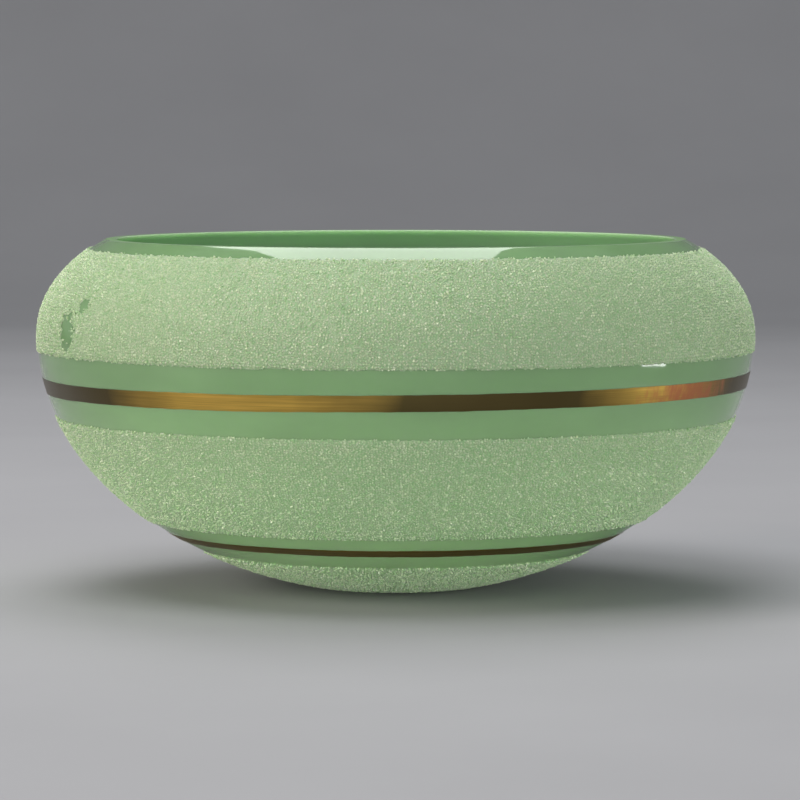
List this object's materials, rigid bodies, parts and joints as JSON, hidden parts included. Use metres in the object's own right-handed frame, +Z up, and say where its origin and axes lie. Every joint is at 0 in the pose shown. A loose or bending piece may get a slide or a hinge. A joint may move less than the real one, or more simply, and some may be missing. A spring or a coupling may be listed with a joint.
{
  "type": "glass bowl",
  "caption": "Wide squat glass bowl with an in-curved shoulder and open mouth, bands of fused glass grains and gold rings outside, standing on a small ground foot.",
  "frame": {"origin": "on the table, under the middle of the flat foot", "axes": "+Z up along the bowl's axis of revolution; the front of the picture faces -Y, with +X to the right"},
  "size_m": [0.2504, 0.2504, 0.1212],
  "materials": {
    "green_glass": "glossy translucent green, ground flat at the rim and the foot",
    "glass_grains": "rough sugar-like crust of fused pale green grains that sparkle",
    "fired_gold": "burnished gold, slightly streaked and worn at the edges"
  },
  "bodies": {
    "root": {"glass_body": "green_glass", "frit_band_shoulder": "glass_grains", "gold_band_wide": "fired_gold", "frit_band_belly": "glass_grains", "gold_line_narrow": "fired_gold", "frit_band_base": "glass_grains"}
  },
  "joints": []
}
